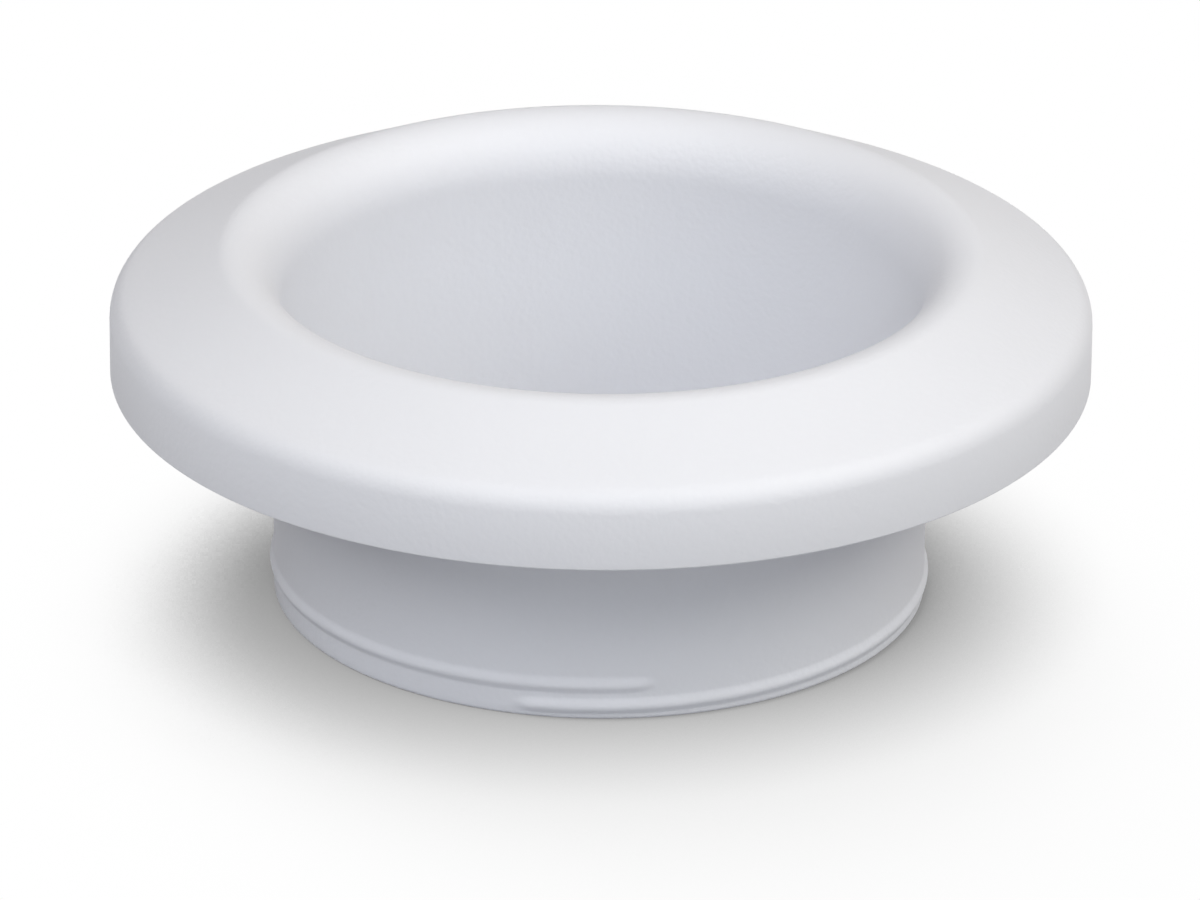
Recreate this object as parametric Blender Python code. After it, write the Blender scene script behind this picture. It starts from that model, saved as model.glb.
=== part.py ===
"""Pipe escutcheon: a spun steel cover ring with a hollow flared face and a straight collar.

The whole part is one sheet. In section the sheet starts at the skirt's trimmed edge, which bears on the wall.
It climbs the skirt, turns a rounded corner, rises inwards along the sloping face, rolls over the crest into a
bell mouth and runs straight down as the collar, which slides round the pipe. A screw bead is rolled outwards
near the collar's foot, so the throat has the matching groove. The axis is +Z and the collar's foot is at Z = 0.
Lengths are in metres and angles in degrees.
"""

import math

import bmesh
import bpy

# The sheet, with its coating, from face to face
SHEET = 0.0012
EDGE_BREAK = 0.0003            # small flat broken on both trimmed edges

# The collar
COLLAR_OUTER_RADIUS = 0.0495
COLLAR_LENGTH = 0.0355         # from its foot up to the wall's plane

# The flared face
RIM_RADIUS = 0.0740            # outside of the skirt
CREST_RISE = 0.0194            # from the wall's plane up to the crest
FACE_SLOPE = 25.2              # rise of the face towards the crest
RIM_CORNER_RADIUS = 0.0042     # between the skirt and the face
CREST_RADIUS = 0.0044          # outer half of the crest's roll
BELL_WIDTH = 0.0076            # from the throat out to the crest
BELL_DEPTH = 0.0090            # from the crest down to the straight throat

# The screw bead: a little over one right-handed turn
BEAD_RISE = 0.0006             # how far it stands out of the collar
BEAD_WIDTH = 0.0030
BEAD_PITCH = 0.0034            # climb in one turn
BEAD_START = -101              # where its full height begins, counted from +X
BEAD_SWEEP = 377               # stretch of full height
BEAD_RUN_OUT = 0.0042          # length over which each end fades
FOOT_LAND = 0.0005             # plain band under the bead

# Facets
SEGMENTS = 96
CORNER_STEPS = 4
CREST_STEPS = 2
BELL_STEPS = 7
BEAD_ROWS = 13

throat_radius = COLLAR_OUTER_RADIUS - SHEET
crest_height = COLLAR_LENGTH + CREST_RISE
crest_radial = throat_radius + BELL_WIDTH
bead_low = FOOT_LAND + BEAD_WIDTH / 2
bead_high = bead_low + BEAD_PITCH * BEAD_SWEEP / 360


def arc(centre, half_width, half_height, first, last, steps):
    """Points with unit normals on an ellipse in the section, by the angle from +Z towards the rim."""
    points = []
    for step in range(steps + 1):
        angle = math.radians(first + (last - first) * step / steps)
        across, up = math.sin(angle), math.cos(angle)
        normal_r, normal_z = across / half_width, up / half_height
        length = math.hypot(normal_r, normal_z)
        points.append((centre[0] + half_width * across, centre[1] + half_height * up,
                       normal_r / length, normal_z / length))
    return points


def face_side():
    """The sheet's show side, from the skirt's edge to the collar's foot, as (radius, height, normal)."""
    slope = math.radians(FACE_SLOPE)
    crest = (crest_radial, crest_height - CREST_RADIUS)
    # Both rolls touch the face's straight line, which fixes how high the corner's centre lies
    corner_r = RIM_RADIUS - RIM_CORNER_RADIUS
    drop = (corner_r - crest[0]) * math.sin(slope) - (CREST_RADIUS - RIM_CORNER_RADIUS)
    corner = (corner_r, crest[1] - drop / math.cos(slope))
    bell = (crest_radial, crest_height - BELL_DEPTH)

    side = [(RIM_RADIUS, COLLAR_LENGTH, 1.0, 0.0)]
    side += arc(corner, RIM_CORNER_RADIUS, RIM_CORNER_RADIUS, 90, FACE_SLOPE, CORNER_STEPS)
    side += arc(crest, CREST_RADIUS, CREST_RADIUS, FACE_SLOPE, 0, CREST_STEPS)
    side += arc(bell, BELL_WIDTH, BELL_DEPTH, 0, -90, BELL_STEPS)[1:]
    top, bottom = bead_high + BEAD_WIDTH / 2, bead_low - BEAD_WIDTH / 2
    for row in range(BEAD_ROWS + 1):
        side.append((throat_radius, top + (bottom - top) * row / BEAD_ROWS, -1.0, 0.0))
    side.append((throat_radius, 0.0, -1.0, 0.0))
    return side


def sheet_outline():
    """The closed section: the show side, and back along the same side moved in by the sheet's thickness."""
    side = face_side()
    front = [(r, z) for r, z, normal_r, normal_z in side]
    back = [(r - SHEET * normal_r, z - SHEET * normal_z) for r, z, normal_r, normal_z in side]
    return front + back[::-1]


def bead_lift(angle, height):
    """How far the sheet is rolled outwards: a cosine hump about a helix, with rounded ends that fade out."""
    lift = 0.0
    span = math.radians(BEAD_SWEEP) * COLLAR_OUTER_RADIUS
    for turn in (0, 1):
        degrees = (angle - BEAD_START + 180) % 360 - 180 + 360 * turn
        along = math.radians(degrees) * COLLAR_OUTER_RADIUS
        beyond = max(0.0, -along, along - span) / BEAD_RUN_OUT
        across = (height - bead_low - BEAD_PITCH * degrees / 360) / (BEAD_WIDTH / 2)
        away = min(1.0, math.hypot(beyond, across))
        lift = max(lift, BEAD_RISE * math.cos(math.pi / 2 * away) ** 2)
    return lift


def spin_outline(outline):
    """The section turned once round the Z axis into a closed shell."""
    mesh = bmesh.new()
    corners = [mesh.verts.new((r, 0.0, z)) for r, z in outline]
    loop = [mesh.edges.new((corners[i - 1], corners[i])) for i in range(len(corners))]
    bmesh.ops.spin(mesh, geom=corners + loop, cent=(0, 0, 0), axis=(0, 0, 1),
                   angle=2 * math.pi, steps=SEGMENTS, use_merge=True)
    return mesh


def roll_bead(mesh):
    """Moves both skins of the collar outwards along the bead."""
    for vert in mesh.verts:
        x, y, z = vert.co
        if 0.0 < z < COLLAR_LENGTH:
            radius = math.hypot(x, y)
            grow = 1 + bead_lift(math.degrees(math.atan2(y, x)), z) / radius
            vert.co.x *= grow
            vert.co.y *= grow


def powder_coat():
    """White satin powder coat on steel sheet."""
    material = bpy.data.materials.new("white_powder_coat")
    material.use_nodes = True
    shader = material.node_tree.nodes["Principled BSDF"]
    shader.inputs["Base Color"].default_value = (0.84, 0.84, 0.85, 1.0)
    shader.inputs["Roughness"].default_value = 0.4
    shader.inputs["Metallic"].default_value = 0.0
    return material


def build_escutcheon():
    """The ring in one piece, with its two trimmed edges broken."""
    solid = spin_outline(sheet_outline())
    roll_bead(solid)
    bmesh.ops.recalc_face_normals(solid, faces=solid.faces)
    mesh = bpy.data.meshes.new("escutcheon")
    solid.to_mesh(mesh)
    solid.free()
    mesh.materials.append(powder_coat())
    mesh.shade_smooth()
    mesh.set_sharp_from_angle(angle=math.radians(50))

    ring = bpy.data.objects.new("escutcheon", mesh)
    bpy.context.scene.collection.objects.link(ring)
    edges = ring.modifiers.new("broken_edges", "BEVEL")
    edges.limit_method = "ANGLE"
    edges.angle_limit = math.radians(60)
    edges.width = EDGE_BREAK
    edges.segments = 1
    return ring


for old in list(bpy.data.objects):
    bpy.data.objects.remove(old, do_unlink=True)
build_escutcheon()
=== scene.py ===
"""Looks of a white pipe escutcheon: a spun and powder-coated steel ring, a pale floor, lamps and a camera.

The ring's surface is worked out as a grid: a section of the sheet, turned round the axis, with a screw bead
that lifts both skins of the collar. Lengths are in metres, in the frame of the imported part.
"""

import math

import bpy
import numpy as np
from bpy.props import FloatProperty, FloatVectorProperty, IntProperty, PointerProperty, StringProperty
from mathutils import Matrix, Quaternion, Vector


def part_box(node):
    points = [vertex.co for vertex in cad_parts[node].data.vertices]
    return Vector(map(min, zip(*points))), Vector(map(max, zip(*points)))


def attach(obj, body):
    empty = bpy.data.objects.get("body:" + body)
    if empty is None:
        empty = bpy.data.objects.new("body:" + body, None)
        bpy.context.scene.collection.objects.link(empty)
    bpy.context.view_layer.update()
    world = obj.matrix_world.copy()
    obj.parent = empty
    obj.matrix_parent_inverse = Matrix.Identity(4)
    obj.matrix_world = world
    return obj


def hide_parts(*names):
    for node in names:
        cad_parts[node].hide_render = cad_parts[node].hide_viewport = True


bl_info = {
    "name": "Pipe Escutcheon",
    "version": (1, 0, 0),
    "blender": (4, 5, 0),
    "location": "View3D > Sidebar > Escutcheon",
    "description": "Makes a white powder-coated cover ring for a pipe, with its stage",
    "category": "Add Mesh",
}

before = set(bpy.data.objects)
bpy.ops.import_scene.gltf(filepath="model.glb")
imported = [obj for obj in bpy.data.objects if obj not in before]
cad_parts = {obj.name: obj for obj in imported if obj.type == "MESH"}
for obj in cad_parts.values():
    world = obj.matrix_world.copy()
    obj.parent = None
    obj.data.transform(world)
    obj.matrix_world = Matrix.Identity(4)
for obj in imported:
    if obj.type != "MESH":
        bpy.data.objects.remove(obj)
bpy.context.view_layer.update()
NODE = "escutcheon"
BODY = "root"
FOOT_CORNER, TOP_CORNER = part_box(NODE)

# The grid over the sheet's section
EDGE_STEPS = 5                 # round each quarter of a trimmed edge
SHOW_STEPS = (10, 8, 26)       # round the rim corner, the crest and the bell on the show side
BACK_STEPS = (6, 5, 14)        # round the same three on the back
FACE_POINTS = 10               # along the sloping face, both ends counted
BEAD_ROWS = 44                 # over the band that the bead runs in
BEAD_MARGIN = 0.0003           # how far that band reaches over the bead
TOP_ROW_DROP = 0.004           # from the skirt's edge down to the collar's highest row
TOUCH = 0.000001               # slack when points on the collar's radius are told from the flange's

# The coat's film
THIN_REACH = 0.0016            # from a trimmed edge to where the film is full
CLOUD_SIZE = 0.04              # width of the slow changes in its thickness
CLOUD_SHARE = 0.3              # part of them that shows in the colour
GLOSS_CHANGE = 0.04            # how far they shift the roughness either way

# The camera's body
SENSOR_WIDTH = 36.0            # in millimetres
VIEW_LIMIT = 50.0              # how far it sees

# Lamps as name, azimuth, elevation, watts and colour. Azimuth 0 is in front, at -Y, and 90 is at +X
SOFTBOXES = (
    ("front_softbox", 0, 30, 20.4, "EDF8FF"),
    ("front_left_softbox", -30, 45, 20.3, "FFF9FC"),
    ("left_softbox", -60, 45, 25.4, "FCFFFC"),
    ("right_softbox", 60, 45, 40.4, "FFFCF2"),
    ("side_softbox", 90, 45, 22.1, "FFFEFE"),
)


# Sizes and colours that a user would change

class RingSizes(bpy.types.PropertyGroup):
    """The sheet's section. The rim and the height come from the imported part."""
    rim_radius: FloatProperty(
        name="Rim radius", description="Outside of the skirt",
        default=TOP_CORNER.x, unit="LENGTH", precision=5)
    height: FloatProperty(
        name="Height", description="From the collar's foot up to the crest",
        default=TOP_CORNER.z - FOOT_CORNER.z, unit="LENGTH", precision=5)
    sheet: FloatProperty(
        name="Sheet", description="Thickness of the coated sheet",
        default=0.0012, unit="LENGTH", precision=5)
    collar_radius: FloatProperty(
        name="Collar radius", description="Outside of the collar",
        default=0.0495, unit="LENGTH", precision=5)
    collar_length: FloatProperty(
        name="Collar length", description="From the collar's foot up to the skirt's edge",
        default=0.0355, unit="LENGTH", precision=5)
    face_slope: FloatProperty(
        name="Face slope", description="Rise of the face from the rim to the crest",
        default=math.radians(25.2), subtype="ANGLE")
    rim_corner: FloatProperty(
        name="Rim corner", description="Radius between the skirt and the face",
        default=0.0042, unit="LENGTH", precision=5)
    crest_radius: FloatProperty(
        name="Crest radius", description="Outer half of the crest's roll",
        default=0.0044, unit="LENGTH", precision=5)
    bell_width: FloatProperty(
        name="Bell width", description="From the throat out to the crest",
        default=0.0076, unit="LENGTH", precision=5)
    bell_depth: FloatProperty(
        name="Bell depth", description="From the crest down to the straight throat",
        default=0.0090, unit="LENGTH", precision=5)
    skirt_round: FloatProperty(
        name="Skirt round", description="Radius of the skirt's trimmed and coated edge",
        default=0.0003, unit="LENGTH", precision=5)
    foot_round: FloatProperty(
        name="Foot round", description="Radius of the collar's trimmed and coated edge",
        default=0.0005, unit="LENGTH", precision=5)


class BeadSizes(bpy.types.PropertyGroup):
    """The screw bead rolled out of the collar."""
    rise: FloatProperty(
        name="Rise", description="How far the bead stands out of the collar",
        default=0.0006, unit="LENGTH", precision=5)
    width: FloatProperty(
        name="Width", description="Width of the bead across its run",
        default=0.0030, unit="LENGTH", precision=5)
    pitch: FloatProperty(
        name="Pitch", description="Climb of the bead in one turn",
        default=0.0034, unit="LENGTH", precision=5)
    start: FloatProperty(
        name="Start", description="Where the full height begins, counted from +X",
        default=math.radians(-101), subtype="ANGLE")
    sweep: FloatProperty(
        name="Sweep", description="Stretch of full height",
        default=math.radians(377), subtype="ANGLE")
    run_out: FloatProperty(
        name="Run-out", description="Length over which each end fades",
        default=0.0042, unit="LENGTH", precision=5)
    foot_land: FloatProperty(
        name="Foot land", description="Plain band between the foot and the bead",
        default=0.0005, unit="LENGTH", precision=5)


class CoatLook(bpy.types.PropertyGroup):
    """The powder coat's colour and skin."""
    colour: StringProperty(
        name="Colour", description="Coat where its film is full, as an sRGB hex value",
        default="EEF0F6")
    thin_colour: StringProperty(
        name="Thin colour", description="Coat on trimmed edges, where its film is thin, likewise",
        default="E3E5EB")
    roughness: FloatProperty(
        name="Roughness", description="Middle roughness of the satin coat", default=0.6)
    peel_size: FloatProperty(
        name="Orange peel size", description="Width of one dimple of the coat's skin",
        default=0.0010, unit="LENGTH", precision=5)
    peel_height: FloatProperty(
        name="Orange peel height", description="Height from which the dimples' slopes are worked out",
        default=0.00006, unit="LENGTH", precision=6)


class StageLook(bpy.types.PropertyGroup):
    """Floor, lamps and camera."""
    floor_size: FloatProperty(
        name="Floor size", description="Side of the square floor",
        default=8.0, unit="LENGTH")
    floor_colour: StringProperty(
        name="Floor colour", description="Paper as light bounces off it, as an sRGB hex value",
        default="BCBDC0")
    well_colour: StringProperty(
        name="Well colour", description="Paper that shows inside the collar, as an sRGB hex value",
        default="F4F4F6")
    # The values from here to the darkest shade set the floor's painted shadow, drawn as emission from the
    # hidden share of sky
    wide_reach: FloatProperty(
        name="Wide reach", description="How far a point of the paper looks for what shades it softly",
        default=0.1, unit="LENGTH", precision=3)
    wide_samples: IntProperty(
        name="Wide samples", description="Directions in which it looks that far", default=16)
    near_reach: FloatProperty(
        name="Near reach", description="How far a point of the paper looks for what it touches",
        default=0.03, unit="LENGTH", precision=3)
    near_samples: IntProperty(
        name="Near samples", description="Directions in which it looks that far", default=8)
    shade_depth: FloatVectorProperty(
        name="Shade depth", default=(0.529, -0.105, 0.251),
        description="Tone that the wide shade takes, and its change rightwards and backwards")
    shade_onset: FloatVectorProperty(
        name="Shade onset", default=(0.598, 0.022, 0.130),
        description="Hidden share at which the wide shade sets in, and its change likewise")
    shade_edge: FloatVectorProperty(
        name="Shade edge", default=(6.481, -1.538, 4.949),
        description="How sharply the wide shade sets in, and its change likewise")
    contact_depth: FloatVectorProperty(
        name="Contact depth", default=(0.424, 0.283, -0.170),
        description="Tone that the shade at the foot takes, and its change likewise")
    darkest_shade: FloatProperty(
        name="Darkest shade", description="Tone of the paper that the least light reaches",
        default=0.27)
    softbox_distance: FloatProperty(
        name="Softbox distance", description="From the ring to each lamp",
        default=3.2, unit="LENGTH")
    softbox_width: FloatProperty(
        name="Softbox width", description="Side of each square lamp",
        default=1.8, unit="LENGTH")
    dome: FloatProperty(
        name="Dome", description="Strength of the even light from all round",
        default=0.08)
    dome_colour: StringProperty(
        name="Dome colour", description="Colour of that light, as an sRGB hex value",
        default="FFE7E1")
    camera_distance: FloatProperty(
        name="Camera distance", description="From the aim point to the lens",
        default=1.557, unit="LENGTH")
    camera_elevation: FloatProperty(
        name="Camera elevation", description="Angle of the view over the floor",
        default=math.radians(24.09), subtype="ANGLE")
    camera_roll: FloatProperty(
        name="Camera roll", description="Turn of the camera about its view",
        default=math.radians(0.452), subtype="ANGLE")
    aim_height: FloatProperty(
        name="Aim height", description="Point on the ring's axis that the camera looks at",
        default=0.02159, unit="LENGTH", precision=5)
    lens: FloatProperty(
        name="Lens", description="Focal length in millimetres, for the sensor's width",
        default=308.15)


# Helpers for meshes and materials

def hex_to_linear(text):
    """An sRGB hex value as linear red, green, blue and alpha."""
    levels = [int(text[i:i + 2], 16) / 255 for i in (0, 2, 4)]
    return [v / 12.92 if v <= 0.04045 else ((v + 0.055) / 1.055) ** 2.4 for v in levels] + [1.0]


def add_node(tree, kind, settings=None, links=None):
    """Adds a shader node, sets its properties and inputs, and links other nodes' outputs to its inputs."""
    node = tree.nodes.new(kind)
    for name, value in (settings or {}).items():
        if isinstance(name, int) or name in node.inputs:
            node.inputs[name].default_value = value
        else:
            setattr(node, name, value)
    for name, output in (links or {}).items():
        tree.links.new(output, node.inputs[name])
    return node


def new_material(name):
    """An empty node material with only its output."""
    material = bpy.data.materials.new(name)
    material.use_nodes = True
    material.node_tree.nodes.clear()
    return material, material.node_tree


def add_object(name, mesh, material):
    """Links a mesh into the scene under a name, with its material."""
    piece = bpy.data.objects.new(name, mesh)
    bpy.context.scene.collection.objects.link(piece)
    mesh.materials.append(material)
    return piece


# The ring's surface

def arc(centre, half_width, half_height, first, last, steps, inset=0.0):
    """Points (radius, height) on an ellipse, each moved in by inset along the ellipse's normal.

    The angle is counted from +Z towards the rim: across is its sine and up its cosine. The ellipse's normal
    is (across / half_width, up / half_height), made one long.
    """
    angle = np.linspace(first, last, steps + 1)
    across, up = np.sin(angle), np.cos(angle)
    normal = np.stack([across / half_width, up / half_height], 1)
    normal /= np.linalg.norm(normal, axis=1)[:, None]
    points = np.stack([centre[0] + half_width * across, centre[1] + half_height * up], 1)
    return points - inset * normal


def flange_skin(s, inset, steps):
    """The section from the skirt's top over the crest to the throat, on the show side or inset to the back.

    Both rolls, at the rim and at the crest, touch the face's straight line, so the height of the rim
    corner's centre follows from the two radii and the slope. The steps are for the corner, the crest and
    the bell.
    """
    corner_steps, crest_steps, bell_steps = steps
    quarter = math.pi / 2
    crest_r = s.collar_radius - s.sheet + s.bell_width
    crest_centre = (crest_r, s.height - s.crest_radius)
    corner_r = s.rim_radius - s.rim_corner
    drop = (corner_r - crest_r) * math.sin(s.face_slope) - (s.crest_radius - s.rim_corner)
    corner_centre = (corner_r, crest_centre[1] - drop / math.cos(s.face_slope))
    bell_centre = (crest_r, s.height - s.bell_depth)
    corner = arc(corner_centre, s.rim_corner, s.rim_corner, quarter, s.face_slope, corner_steps, inset)
    crest = arc(crest_centre, s.crest_radius, s.crest_radius, s.face_slope, 0, crest_steps, inset)
    bell = arc(bell_centre, s.bell_width, s.bell_depth, 0, -quarter, bell_steps, inset)
    face = corner[-1] + (crest[0] - corner[-1]) * np.linspace(0, 1, FACE_POINTS)[1:-1, None]
    return np.concatenate([corner, face, crest, bell[1:]])


def sheet_section(s, bead):
    """The closed section of the sheet as (radius, height), round both trimmed edges and both skins.

    It starts inside the skirt's edge and goes round it, up the show side, over the crest, down the throat,
    round the collar's foot, up the collar's outside and back under the face.
    """
    half_turn = math.pi
    quarter = half_turn / 2
    throat = s.collar_radius - s.sheet
    skirt, foot = s.skirt_round, s.foot_round
    skirt_z = s.collar_length + skirt
    skirt_back = s.rim_radius - s.sheet
    skirt_edge = np.concatenate([
        arc((skirt_back + skirt, skirt_z), skirt, skirt, half_turn + quarter, half_turn, EDGE_STEPS),
        arc((s.rim_radius - skirt, skirt_z), skirt, skirt, half_turn, quarter, EDGE_STEPS)])
    foot_edge = np.concatenate([
        arc((throat + foot, foot), foot, foot, -quarter, -half_turn, EDGE_STEPS),
        arc((s.collar_radius - foot, foot), foot, foot, -half_turn, -half_turn - quarter, EDGE_STEPS)])
    bead_top = bead.foot_land + bead.width + bead.pitch * bead.sweep / math.tau
    bead_rows = np.linspace(bead_top + BEAD_MARGIN, foot, BEAD_ROWS)[:-1]
    rows = np.concatenate([[s.collar_length - TOP_ROW_DROP, s.collar_length / 2], bead_rows])
    inside = np.stack([np.full(len(rows), throat), rows], 1)
    outside = np.stack([np.full(len(rows), s.collar_radius), rows[::-1]], 1)
    return np.concatenate([
        skirt_edge,
        flange_skin(s, 0.0, SHOW_STEPS),
        inside,
        foot_edge,
        outside,
        flange_skin(s, s.sheet, BACK_STEPS)[::-1]])


def bead_lift(s, bead, angle, height):
    """How far the bead lifts the sheet at an angle and a height, both arrays.

    The bead's line is a helix that climbs by the pitch in a turn. Away from it the lift is the squared cosine
    of the distance, measured across in half widths and beyond the ends in run-out lengths.
    """
    lift = np.zeros(np.broadcast(angle, height).shape)
    first_height = bead.foot_land + bead.width / 2
    for turn in (0, 1):
        passed = (angle - bead.start + math.pi) % math.tau - math.pi + math.tau * turn
        beyond = np.maximum(0, np.maximum(-passed, passed - bead.sweep)) * s.collar_radius / bead.run_out
        across = (height - first_height - bead.pitch * passed / math.tau) / (bead.width / 2)
        away = np.minimum(1, np.hypot(beyond, across))
        lift = np.maximum(lift, bead.rise * np.cos(math.pi / 2 * away) ** 2)
    return lift


def ring_mesh(s, bead, segments):
    """The section turned round the Z axis: a grid of section points by angles, closed both ways.

    It also carries how thin the coat's film is, which is one at a trimmed edge's middle and falls to nought.
    """
    section = sheet_section(s, bead)
    angle = np.linspace(0, math.tau, segments, endpoint=False)[:, None]
    radius, height = section[None, :, 0], section[None, :, 1]
    on_collar = radius < s.collar_radius + TOUCH
    radius = radius + np.where(on_collar, bead_lift(s, bead, angle, height), 0.0)
    points = np.stack([radius * np.cos(angle), radius * np.sin(angle),
                       np.broadcast_to(height, radius.shape)], 2)
    count = len(section)
    here = np.arange(segments)[:, None] * count + np.arange(count)[None, :]
    ahead = np.roll(here, -1, axis=0)
    quads = np.stack([here, ahead, np.roll(ahead, -1, axis=1), np.roll(here, -1, axis=1)], 2)
    mesh = bpy.data.meshes.new("coated_ring")
    mesh.from_pydata(points.reshape(-1, 3), [], quads.reshape(-1, 4))
    from_skirt = np.hypot(section[:, 0] - s.rim_radius + s.sheet / 2, section[:, 1] - s.collar_length)
    from_foot = np.hypot(section[:, 0] - s.collar_radius + s.sheet / 2, section[:, 1])
    thin = np.clip(1 - np.minimum(from_skirt, from_foot) / THIN_REACH, 0, 1)
    film = mesh.attributes.new("thin_film", "FLOAT", "POINT")
    film.data.foreach_set("value", np.tile(thin, segments).astype(np.float32))
    mesh.shade_smooth()
    mesh.update()
    return mesh


# Materials

def powder_coat(look):
    """Polyester powder coat, sprayed and oven-cured: a satin white film with a faint orange-peel skin."""
    material, tree = new_material("white_polyester_powder_coat")
    place = add_node(tree, "ShaderNodeTexCoord")
    film = add_node(tree, "ShaderNodeAttribute", {"attribute_name": "thin_film"})
    # The film's thickness changes slowly over the ring and shifts its colour and gloss a little
    cloud = add_node(tree, "ShaderNodeTexNoise", {"Scale": 1 / CLOUD_SIZE, "Detail": 2.0},
                     {"Vector": place.outputs["Object"]})
    thinness = add_node(tree, "ShaderNodeMath",
                        {"operation": "MULTIPLY_ADD", 1: CLOUD_SHARE, "use_clamp": True},
                        {0: cloud.outputs["Fac"], 2: film.outputs["Fac"]})
    colour = add_node(tree, "ShaderNodeMix", {"data_type": "RGBA"}, {"Factor": thinness.outputs[0]})
    colour.inputs[6].default_value = hex_to_linear(look.colour)
    colour.inputs[7].default_value = hex_to_linear(look.thin_colour)
    gloss = add_node(tree, "ShaderNodeMapRange",
                     {"To Min": look.roughness - GLOSS_CHANGE, "To Max": look.roughness + GLOSS_CHANGE},
                     {"Value": cloud.outputs["Fac"]})
    # The cured powder leaves shallow dimples, drawn steeper than the real ones so that they show
    peel = add_node(tree, "ShaderNodeTexNoise",
                    {"Scale": 1 / look.peel_size, "Detail": 1.5, "Roughness": 0.45},
                    {"Vector": place.outputs["Object"]})
    bump = add_node(tree, "ShaderNodeBump", {"Strength": 1.0, "Distance": look.peel_height},
                    {"Height": peel.outputs["Fac"]})
    shader = add_node(tree, "ShaderNodeBsdfPrincipled", {"IOR": 1.5},
                      {"Base Color": colour.outputs[2], "Roughness": gloss.outputs["Result"],
                       "Normal": bump.outputs["Normal"]})
    add_node(tree, "ShaderNodeOutputMaterial", links={"Surface": shader.outputs["BSDF"]})
    return material


def seen_directly(tree):
    """One for rays from the camera and for mirrored and refracted ones, nought for light that bounces."""
    ray = add_node(tree, "ShaderNodeLightPath")
    mirrored = add_node(tree, "ShaderNodeMath", {"operation": "MAXIMUM"},
                        {0: ray.outputs["Is Glossy Ray"], 1: ray.outputs["Is Transmission Ray"]})
    seen = add_node(tree, "ShaderNodeMath", {"operation": "MAXIMUM"},
                    {0: ray.outputs["Is Camera Ray"], 1: mirrored.outputs[0]})
    return seen.outputs[0]


def by_direction(tree, direction, amounts):
    """A value that changes with the direction from the axis.

    It is the first amount, plus the second times the direction's share to the right and the third times its
    share to the back.
    """
    middle, rightwards, backwards = amounts
    change = add_node(tree, "ShaderNodeVectorMath",
                      {"operation": "DOT_PRODUCT", 1: (rightwards, backwards, 0)}, {0: direction})
    value = add_node(tree, "ShaderNodeMath", {"operation": "ADD", 1: middle}, {0: change.outputs["Value"]})
    return value.outputs[0]


def hidden_share(tree, reach, samples):
    """The share of the sky over a point that things within reach hide."""
    sky = add_node(tree, "ShaderNodeAmbientOcclusion", {"samples": samples, "Distance": reach})
    hidden = add_node(tree, "ShaderNodeMath", {"operation": "SUBTRACT", 0: 1.0}, {1: sky.outputs["AO"]})
    return hidden.outputs[0]


def paper_with_painted_shadow(look, well_radius):
    """White studio paper with the ring's soft shadow painted on: seen directly, its tone is an emission, not
    lamp light.

    From white, the painted wide shade takes depth * (1 - e ^ -((hidden / onset) ^ edge)), and the painted
    shade at the foot takes its depth times the share hidden close by. All but the reaches change with the
    point's direction from the axis, painted to follow the main light, which comes from the front and the
    right:
    the shade is shallow and soft there, and deep and sharp at the left and the back. Inside the well radius,
    where the collar stands round it, the paper shows the lamps' own light and shade.
    """
    material, tree = new_material("matt_studio_paper_painted_shadow")
    place = add_node(tree, "ShaderNodeTexCoord").outputs["Object"]
    outwards = add_node(tree, "ShaderNodeVectorMath", {"operation": "NORMALIZE"}, {0: place}).outputs[0]

    # Painted shadow: the wide shade comes from the share of sky that the ring hides within the wide reach
    share = add_node(tree, "ShaderNodeMath", {"operation": "DIVIDE"},
                     {0: hidden_share(tree, look.wide_reach, look.wide_samples),
                      1: by_direction(tree, outwards, look.shade_onset)})
    steep = add_node(tree, "ShaderNodeMath", {"operation": "POWER"},
                     {0: share.outputs[0], 1: by_direction(tree, outwards, look.shade_edge)})
    fall = add_node(tree, "ShaderNodeMath", {"operation": "MULTIPLY", 1: -1.0}, {0: steep.outputs[0]})
    clear = add_node(tree, "ShaderNodeMath", {"operation": "EXPONENT"}, {0: fall.outputs[0]})
    shaded = add_node(tree, "ShaderNodeMath", {"operation": "SUBTRACT", 0: 1.0}, {1: clear.outputs[0]})
    painted_wide_shade = add_node(tree, "ShaderNodeMath", {"operation": "MULTIPLY"},
                         {0: shaded.outputs[0], 1: by_direction(tree, outwards, look.shade_depth)})

    # Painted shade at the foot, from the share of sky hidden close by
    painted_contact_shade = add_node(tree, "ShaderNodeMath", {"operation": "MULTIPLY"},
                         {0: hidden_share(tree, look.near_reach, look.near_samples),
                          1: by_direction(tree, outwards, look.contact_depth)})
    painted_shade = add_node(tree, "ShaderNodeMath", {"operation": "ADD"},
                    {0: painted_wide_shade.outputs[0], 1: painted_contact_shade.outputs[0]})
    left = add_node(tree, "ShaderNodeMath", {"operation": "SUBTRACT", 0: 1.0}, {1: painted_shade.outputs[0]})
    tone = add_node(tree, "ShaderNodeClamp", {"Min": look.darkest_shade, "Max": 1.0},
                    {"Value": left.outputs[0]})

    # The camera and the coat's gloss see the painted shadow as an emission of this strength, not as lamp
    # light
    white = add_node(tree, "ShaderNodeEmission", links={"Strength": tone.outputs[0]})
    well = add_node(tree, "ShaderNodeBsdfDiffuse", {"Color": hex_to_linear(look.well_colour)})
    from_axis = add_node(tree, "ShaderNodeVectorMath", {"operation": "LENGTH"}, {0: place})
    outside = add_node(tree, "ShaderNodeMath", {"operation": "GREATER_THAN", 1: well_radius},
                       {0: from_axis.outputs["Value"]})
    shown = add_node(tree, "ShaderNodeMixShader",
                     links={0: outside.outputs[0], 1: well.outputs[0], 2: white.outputs[0]})
    paper = add_node(tree, "ShaderNodeBsdfDiffuse", {"Color": hex_to_linear(look.floor_colour)})
    mix = add_node(tree, "ShaderNodeMixShader",
                   links={0: seen_directly(tree), 1: paper.outputs[0], 2: shown.outputs[0]})
    add_node(tree, "ShaderNodeOutputMaterial", links={"Surface": mix.outputs[0]})
    return material


# Stage

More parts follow.
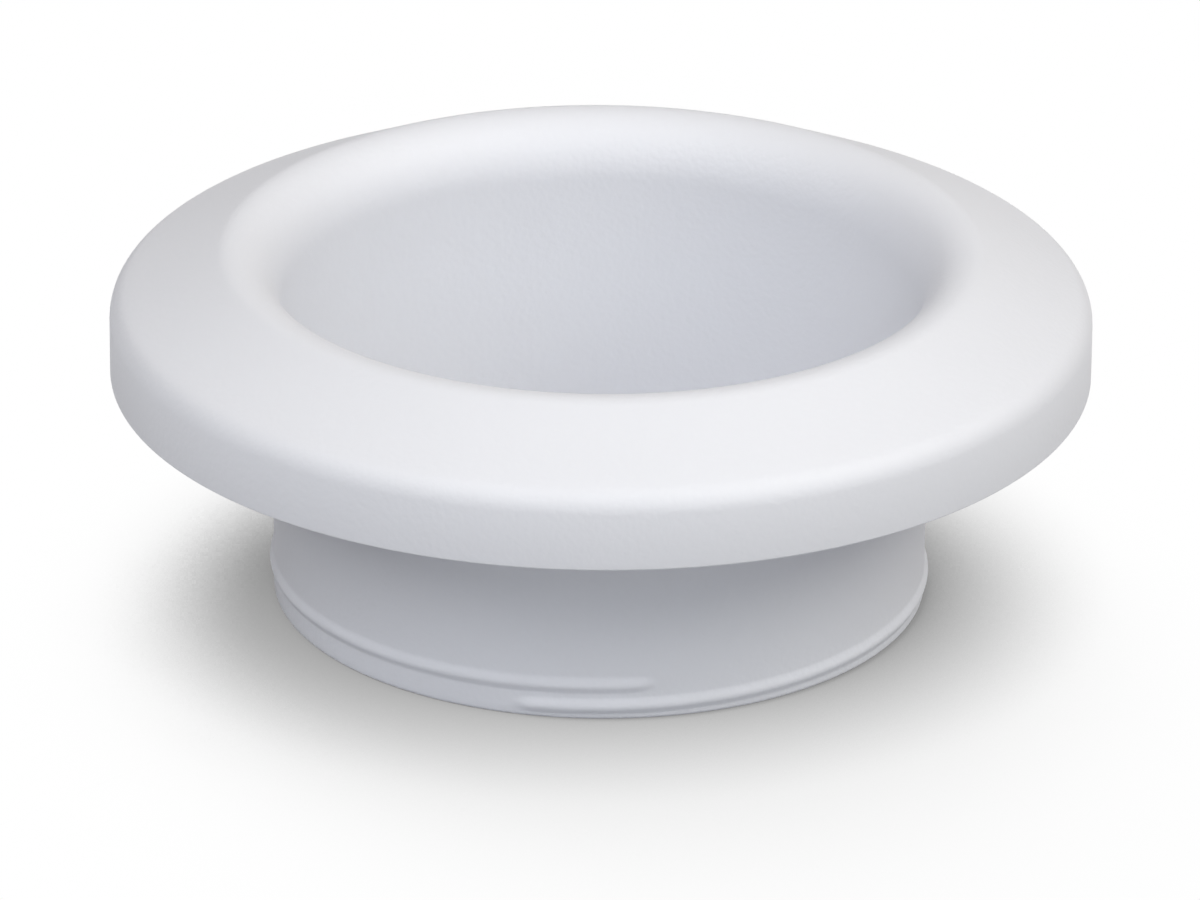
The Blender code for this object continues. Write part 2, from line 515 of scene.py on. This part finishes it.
def make_camera(look):
    """Looks at a point on the ring's axis from the front, through a long lens, with a slight roll."""
    lens = bpy.data.cameras.new("camera")
    lens.sensor_width = SENSOR_WIDTH
    lens.lens = look.lens
    lens.clip_end = VIEW_LIMIT
    camera = bpy.data.objects.new("camera", lens)
    aim = Vector((0, 0, look.aim_height))
    towards = Vector((0, -math.cos(look.camera_elevation), math.sin(look.camera_elevation)))
    camera.location = aim + look.camera_distance * towards
    level = (-towards).to_track_quat("-Z", "Y")
    camera.rotation_mode = "QUATERNION"
    camera.rotation_quaternion = level @ Quaternion((0, 0, 1), look.camera_roll)
    bpy.context.scene.collection.objects.link(camera)
    bpy.context.scene.camera = camera


def add_softbox(look, name, azimuth, elevation, power, colour):
    """A square lamp aimed at the collar's foot, in degrees and watts."""
    lamp = bpy.data.lights.new(name, "AREA")
    lamp.shape = "SQUARE"
    lamp.size = look.softbox_width
    lamp.energy = power
    lamp.color = hex_to_linear(colour)[:3]
    box = bpy.data.objects.new(name, lamp)
    a, e = math.radians(azimuth), math.radians(elevation)
    towards = Vector((math.sin(a) * math.cos(e), -math.cos(a) * math.cos(e), math.sin(e)))
    place = look.softbox_distance * towards
    box.location = place
    box.rotation_euler = (-place).to_track_quat("-Z", "Y").to_euler()
    bpy.context.scene.collection.objects.link(box)


def make_world(look):
    """A faint, even and slightly warm dome. What the camera and the coat's gloss see of it is white."""
    world = bpy.data.worlds.new("studio")
    world.use_nodes = True
    tree = world.node_tree
    tree.nodes.clear()
    dome = add_node(tree, "ShaderNodeBackground",
                    {"Color": hex_to_linear(look.dome_colour), "Strength": look.dome})
    white = add_node(tree, "ShaderNodeBackground", {"Color": (1, 1, 1, 1), "Strength": 1.0})
    mix = add_node(tree, "ShaderNodeMixShader",
                   links={0: seen_directly(tree), 1: dome.outputs[0], 2: white.outputs[0]})
    add_node(tree, "ShaderNodeOutputWorld", links={"Surface": mix.outputs[0]})
    bpy.context.scene.world = world


# Operators

class ESCUTCHEON_OT_make_ring(bpy.types.Operator):
    """Make the coated ring in place of the plain solid"""
    bl_idname = "escutcheon.make_ring"
    bl_label = "Make Ring"

    segments: IntProperty(name="Segments", description="Facets round the ring", default=480)

    def execute(self, context):
        scene = context.scene
        mesh = ring_mesh(scene.ring_sizes, scene.bead_sizes, self.segments)
        ring = add_object("coated_ring", mesh, powder_coat(scene.coat_look))
        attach(ring, BODY)
        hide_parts(NODE)
        return {"FINISHED"}


class ESCUTCHEON_OT_make_stage(bpy.types.Operator):
    """Make the floor, the lamps, the world and the camera"""
    bl_idname = "escutcheon.make_stage"
    bl_label = "Make Stage"

    def execute(self, context):
        look = context.scene.stage_look
        sizes = context.scene.ring_sizes
        half = look.floor_size / 2
        mesh = bpy.data.meshes.new("floor")
        corners = [(-half, -half, 0), (half, -half, 0), (half, half, 0), (-half, half, 0)]
        mesh.from_pydata(corners, [], [(0, 1, 2, 3)])
        well_radius = sizes.collar_radius - sizes.sheet / 2
        add_object("floor", mesh, paper_with_painted_shadow(look, well_radius))
        for lamp in SOFTBOXES:
            add_softbox(look, *lamp)
        make_world(look)
        make_camera(look)
        context.scene.view_settings.view_transform = "Standard"
        return {"FINISHED"}


class ESCUTCHEON_PT_panel(bpy.types.Panel):
    """Lists the operators and the values they read"""
    bl_label = "Escutcheon"
    bl_idname = "ESCUTCHEON_PT_panel"
    bl_space_type = "VIEW_3D"
    bl_region_type = "UI"
    bl_category = "Escutcheon"

    def draw(self, context):
        for operator in OPERATORS:
            self.layout.operator(operator.bl_idname)
        for group in GROUPS:
            values = getattr(context.scene, group)
            for name in values.__annotations__:
                self.layout.prop(values, name)


GROUPS = {"ring_sizes": RingSizes, "bead_sizes": BeadSizes, "coat_look": CoatLook, "stage_look": StageLook}
OPERATORS = (ESCUTCHEON_OT_make_ring, ESCUTCHEON_OT_make_stage)
CLASSES = (*GROUPS.values(), *OPERATORS, ESCUTCHEON_PT_panel)


def register():
    for cls in CLASSES:
        bpy.utils.register_class(cls)
    for name, group in GROUPS.items():
        setattr(bpy.types.Scene, name, PointerProperty(type=group))


def unregister():
    for name in GROUPS:
        delattr(bpy.types.Scene, name)
    for cls in reversed(CLASSES):
        bpy.utils.unregister_class(cls)


def main():
    register()
    bpy.ops.escutcheon.make_ring()
    bpy.ops.escutcheon.make_stage()


if __name__ == "__main__":
    main()
